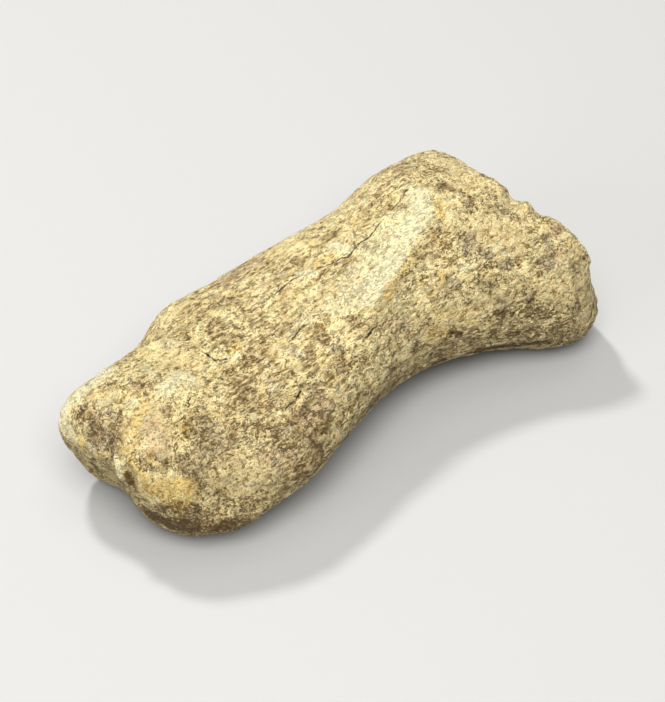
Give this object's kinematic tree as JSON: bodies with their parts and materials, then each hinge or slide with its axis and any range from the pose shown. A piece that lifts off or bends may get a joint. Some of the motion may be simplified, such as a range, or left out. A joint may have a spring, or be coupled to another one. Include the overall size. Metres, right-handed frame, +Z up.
{
  "type": "fossil cave bear toe bone",
  "caption": "Fossil first toe bone of a cave bear: a short stout shaft with a grooved roller at the toe-tip end and a wide hollowed joint face at the paw end.",
  "frame": {"origin": "centre of the bounding box's bottom face, on the floor", "axes": "+X along the bone towards the paw end, +Y across it, away from the viewer, +Z up, the back of the toe"},
  "size_m": [0.0552, 0.0262, 0.0178],
  "materials": {
    "fossil_bone": "dull mineralised bone, tan to cream with fine dark speckles"
  },
  "bodies": {
    "root": {"toe_bone": "fossil_bone"}
  },
  "joints": []
}
